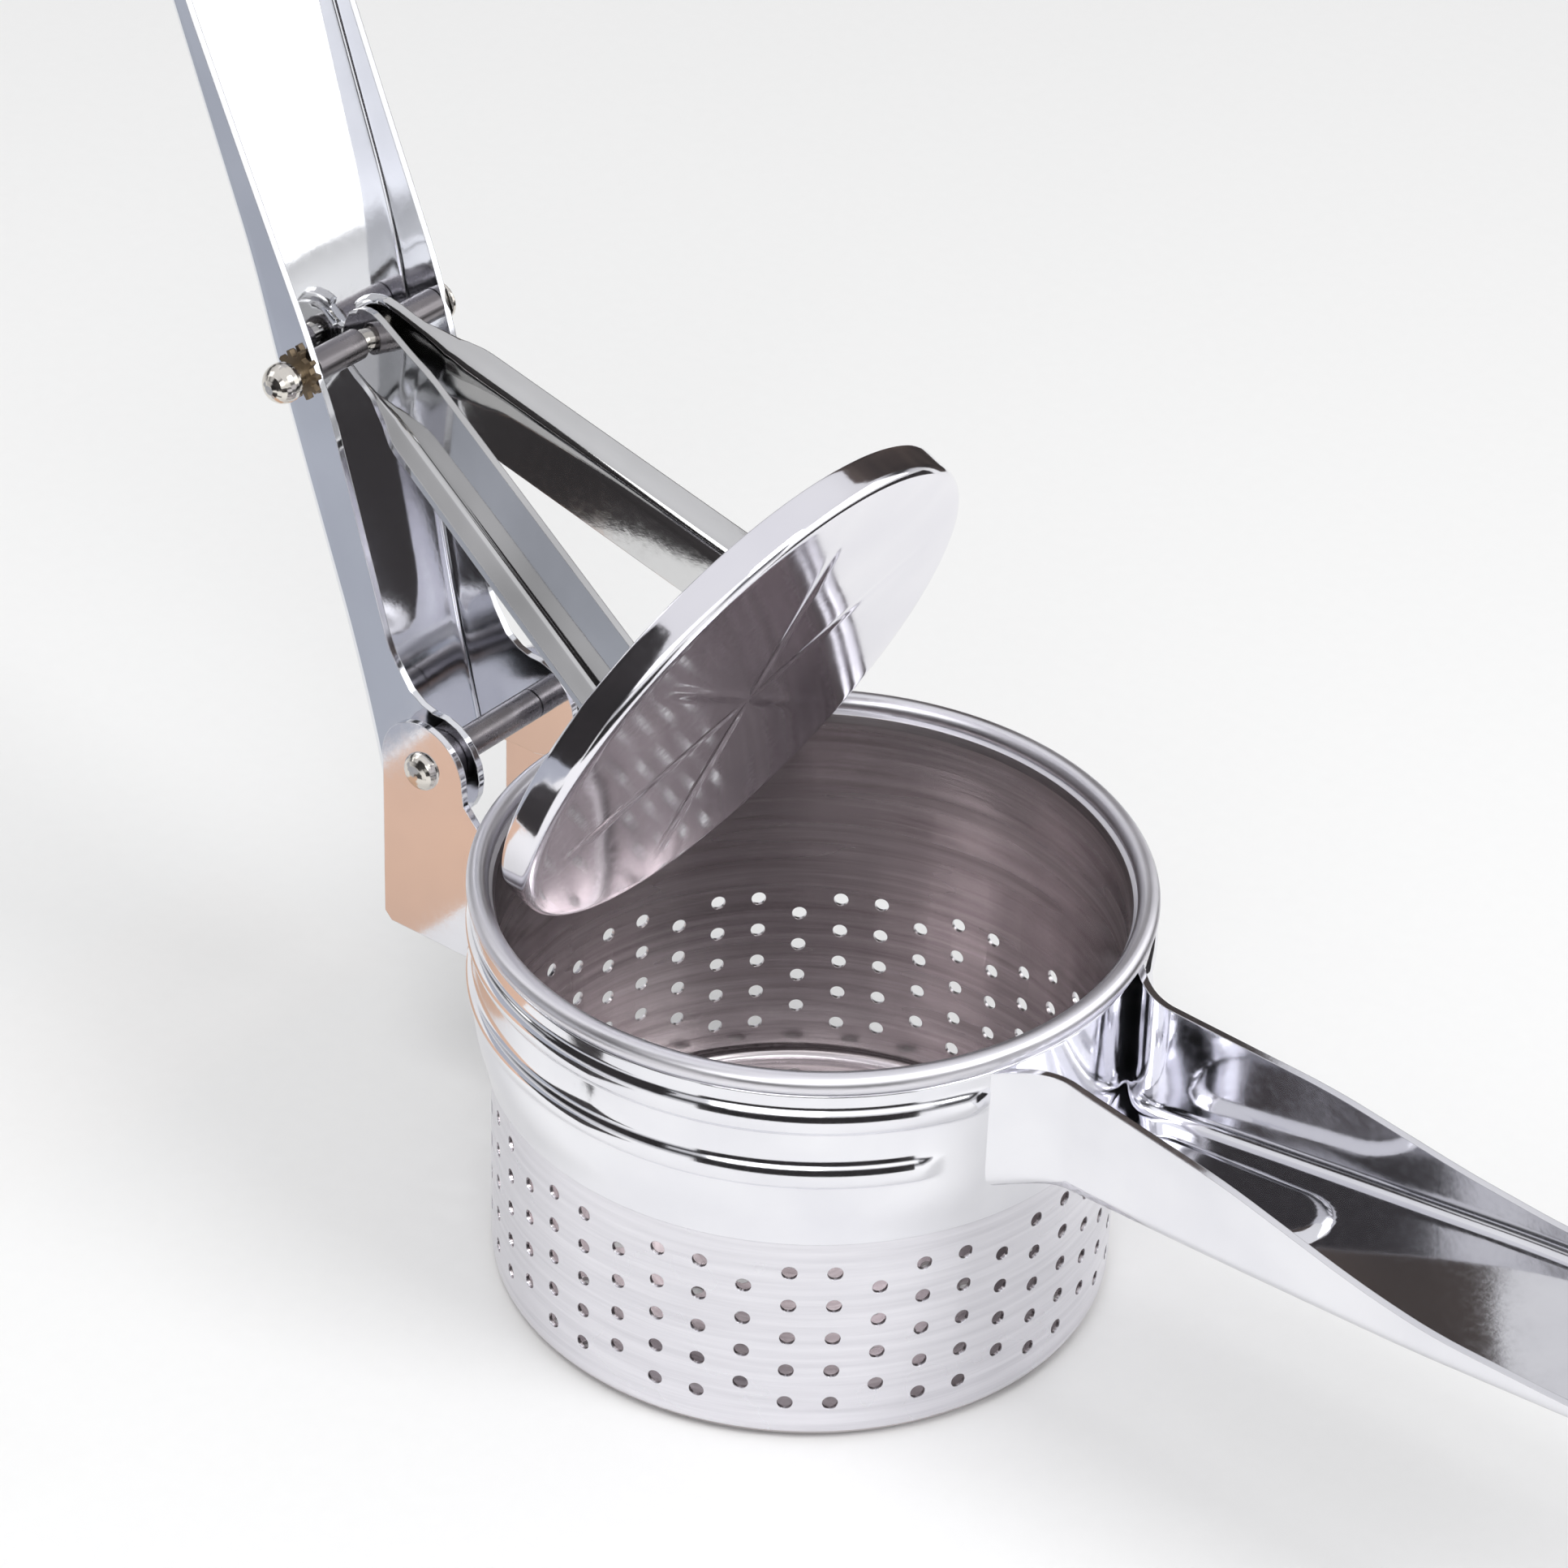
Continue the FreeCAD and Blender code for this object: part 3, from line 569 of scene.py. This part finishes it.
def surroundings():
    """A dim-to-pale world for the steel to reflect, plain to the camera and to the floor."""
    world = bpy.data.worlds.new("studio")
    world.use_nodes = True
    scene.world = world
    tree = world.node_tree
    background = tree.nodes["Background"]
    place = tree.nodes.new("ShaderNodeTexCoord")
    split = tree.nodes.new("ShaderNodeSeparateXYZ")
    ramp = tree.nodes.new("ShaderNodeValToRGB")
    rays = tree.nodes.new("ShaderNodeLightPath")
    tree.links.new(place.outputs["Generated"], split.inputs[0])
    tree.links.new(split.outputs["Z"], ramp.inputs[0])

    def unless(ray, usual, plain):
        """The usual tone, but a plain one for one kind of ray."""
        mix = tree.nodes.new("ShaderNodeMix")
        mix.data_type = "RGBA"
        mix.inputs[MIX_B].default_value = (plain, plain, plain, 1)
        tree.links.new(rays.outputs[ray], mix.inputs["Factor"])
        tree.links.new(usual, mix.inputs[MIX_A])
        return mix.outputs[MIX_RESULT]

    tone = unless("Is Camera Ray", unless("Is Diffuse Ray", ramp.outputs[0], 0.76), 1.12)
    tree.links.new(tone, background.inputs["Color"])
    background.inputs["Strength"].default_value = 0.82
    stops = ((0.0, 0.80), (0.10, 0.55), (0.17, 0.06), (0.30, 0.08), (0.44, 0.80), (0.75, 1.0),
             (1.0, 1.05))
    while len(ramp.color_ramp.elements) < len(stops):
        ramp.color_ramp.elements.new(0.5)
    for element, (position, value) in zip(ramp.color_ramp.elements, stops):
        element.position = position
        element.color = (value, value, value * 1.03, 1)


def studio():
    """Soft boxes, then the cards that the steel reflects. Lamps are placed in metres, cards in mm."""
    soft_box("key", (0.95, 0.10, 1.0), (0, 0, 0.05), (0.55, 0.55), 6.5)
    soft_box("top", (0.15, -0.50, 1.1), (0.05, 0, 0), (0.40, 0.40), 3.4, mirrored=False)
    soft_box("front", (0.55, -1.1, 0.7), (0, 0, 0.06), (0.8, 0.5), 2.5)
    soft_box("left", (-1.1, -0.5, 0.8), (0, 0, 0.08), (0.4, 0.9), 1.5)
    soft_box("side", (0.20, 0.22, 0.21), (-0.09, 0, 0.17), (0.36, 0.22), 0.30, lights_floor=False)
    soft_box("fill", (0.20, -0.22, 0.24), (-0.09, 0, 0.17), (0.36, 0.26), 0.20, lights_floor=False)
    black = (0.012, 0.010, 0.011, 1)
    dark = (0.035, 0.030, 0.032, 1), black
    brown = (0.10, 0.075, 0.065, 1), black
    grey = (0.42, 0.44, 0.50, 1), (0.36, 0.38, 0.43, 1)
    tan = (0.74, 0.50, 0.37, 1), (0.66, 0.43, 0.31, 1)
    standing_card("right_flag", (35, 236), (184, 74), 0, 78, dark)
    standing_card("near_flag", (35, -236), (184, -74), 0, 88, dark)
    standing_card("back_flag", (-130, 150), (2, 150), 60, 240, brown)
    lying_card("front_flag", (-118, -210), (-40, -92), dark)
    standing_card("high_flag", (-130, -150), (2, -150), 60, 240, dark)
    lying_card("grey_board", (-560, -420), (-120, -62), grey)
    lying_card("warm_board", (-118, -90), (-84, 12), tan)


pale_floor()
surroundings()
studio()
scene.view_settings.view_transform = "Standard"
